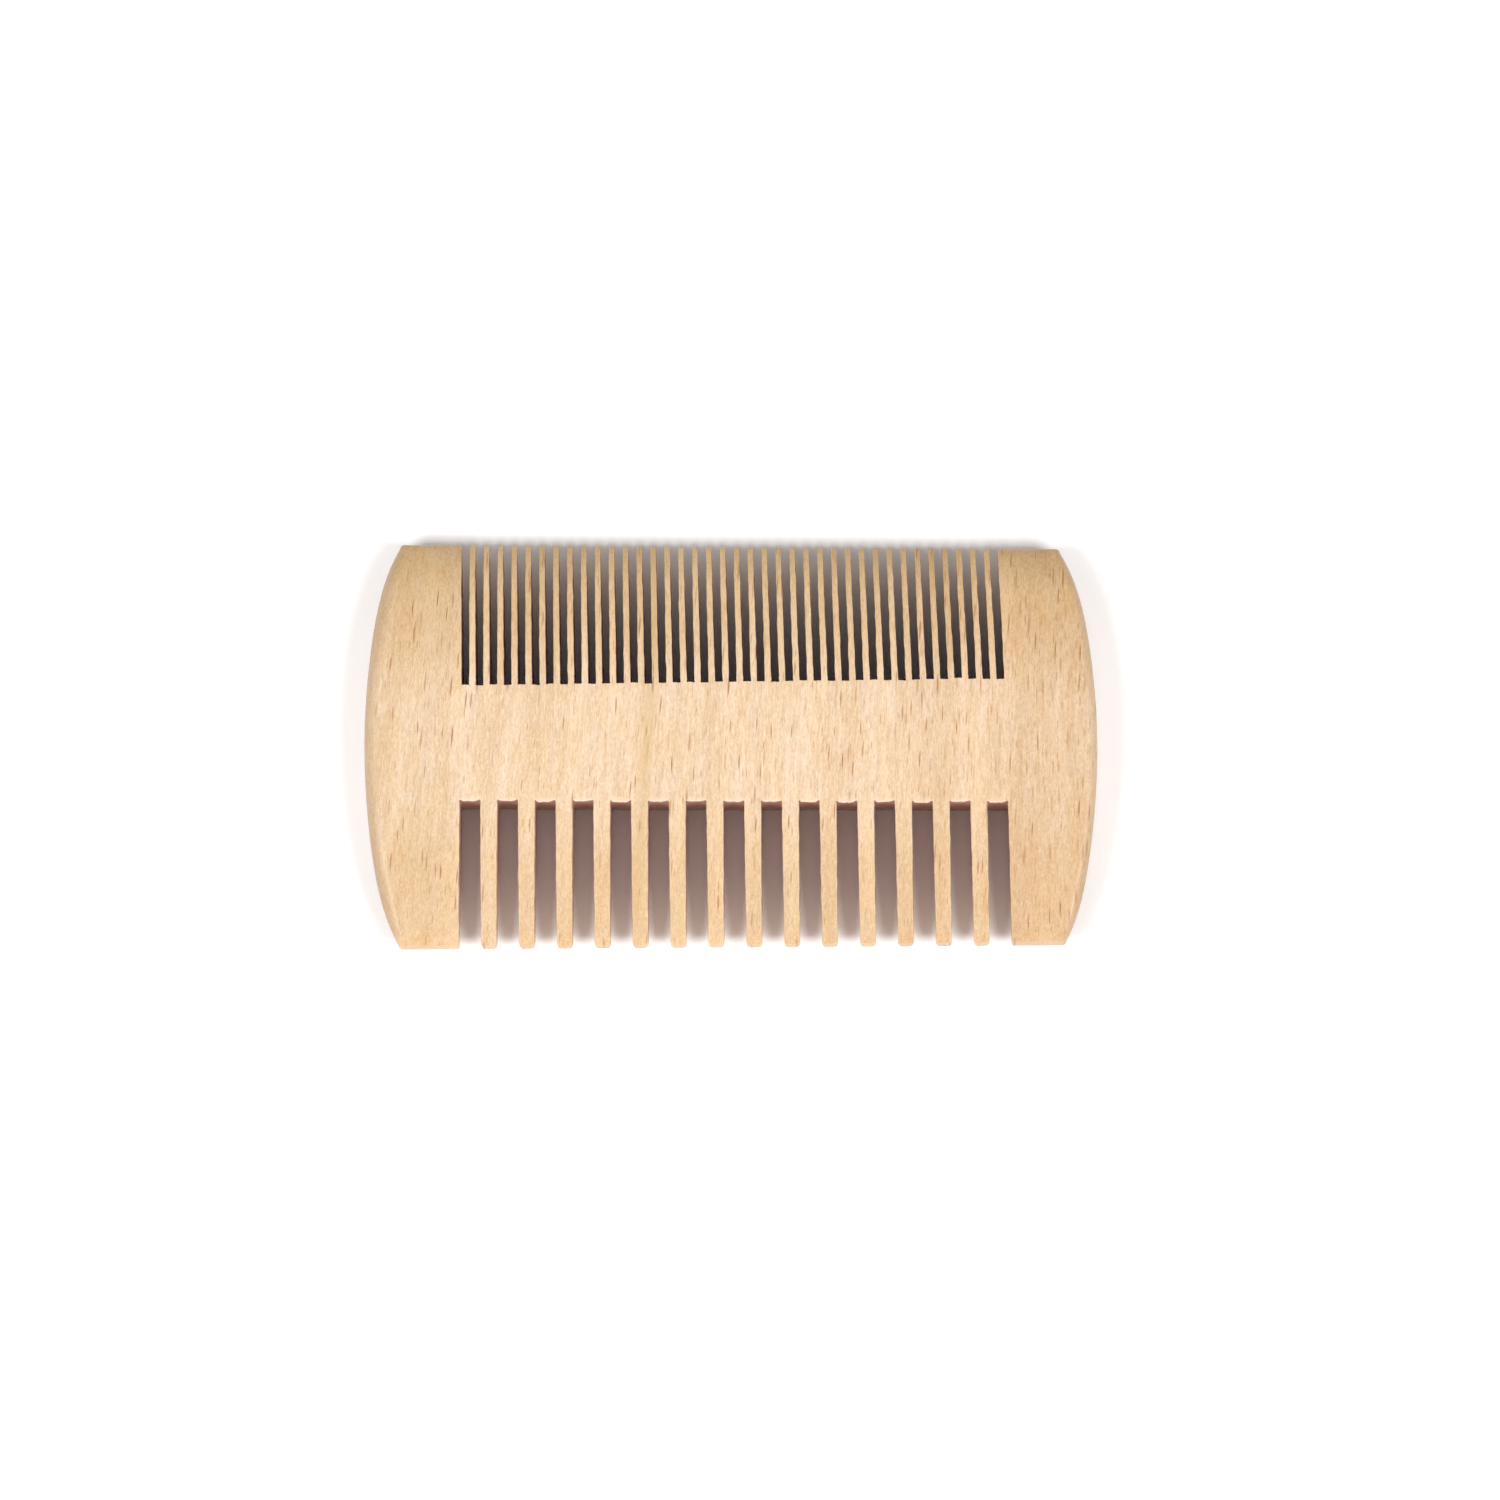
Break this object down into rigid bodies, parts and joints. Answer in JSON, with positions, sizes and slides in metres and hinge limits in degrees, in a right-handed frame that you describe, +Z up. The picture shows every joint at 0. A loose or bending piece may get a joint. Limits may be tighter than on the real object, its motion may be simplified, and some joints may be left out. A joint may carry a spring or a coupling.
{
  "type": "beard comb",
  "caption": "Double-sided wooden beard comb: one flat board with a fine-toothed edge, a coarse-toothed edge, a thick spine and solid bulging end guards.",
  "frame": {"origin": "middle of the underside: the centre of the box around the comb, on the face that it lies on", "axes": "+X along the comb towards its right-hand guard, +Y across it towards the tips of the fine teeth, +Z up through the board"},
  "size_m": [0.1, 0.0558, 0.0095],
  "materials": {
    "beech": "fine-sanded, matt"
  },
  "bodies": {
    "root": {"spine": "beech", "left_guard": "beech", "right_guard": "beech", "fine_tooth_01": "beech", "fine_tooth_02": "beech", "fine_tooth_03": "beech", "fine_tooth_04": "beech", "fine_tooth_05": "beech", "fine_tooth_06": "beech", "fine_tooth_07": "beech", "fine_tooth_08": "beech", "fine_tooth_09": "beech", "fine_tooth_10": "beech", "fine_tooth_11": "beech", "fine_tooth_12": "beech", "fine_tooth_13": "beech", "fine_tooth_14": "beech", "fine_tooth_15": "beech", "fine_tooth_16": "beech", "fine_tooth_17": "beech", "fine_tooth_18": "beech", "fine_tooth_19": "beech", "fine_tooth_20": "beech", "fine_tooth_21": "beech", "fine_tooth_22": "beech", "fine_tooth_23": "beech", "fine_tooth_24": "beech", "fine_tooth_25": "beech", "fine_tooth_26": "beech", "fine_tooth_27": "beech", "fine_tooth_28": "beech", "fine_tooth_29": "beech", "fine_tooth_30": "beech", "fine_tooth_31": "beech", "fine_tooth_32": "beech", "fine_tooth_33": "beech", "fine_tooth_34": "beech", "fine_tooth_35": "beech", "fine_tooth_36": "beech", "fine_tooth_37": "beech", "fine_tooth_38": "beech", "coarse_tooth_01": "beech", "coarse_tooth_02": "beech", "coarse_tooth_03": "beech", "coarse_tooth_04": "beech", "coarse_tooth_05": "beech", "coarse_tooth_06": "beech", "coarse_tooth_07": "beech", "coarse_tooth_08": "beech", "coarse_tooth_09": "beech", "coarse_tooth_10": "beech", "coarse_tooth_11": "beech", "coarse_tooth_12": "beech", "coarse_tooth_13": "beech", "coarse_tooth_14": "beech"}
  },
  "joints": []
}
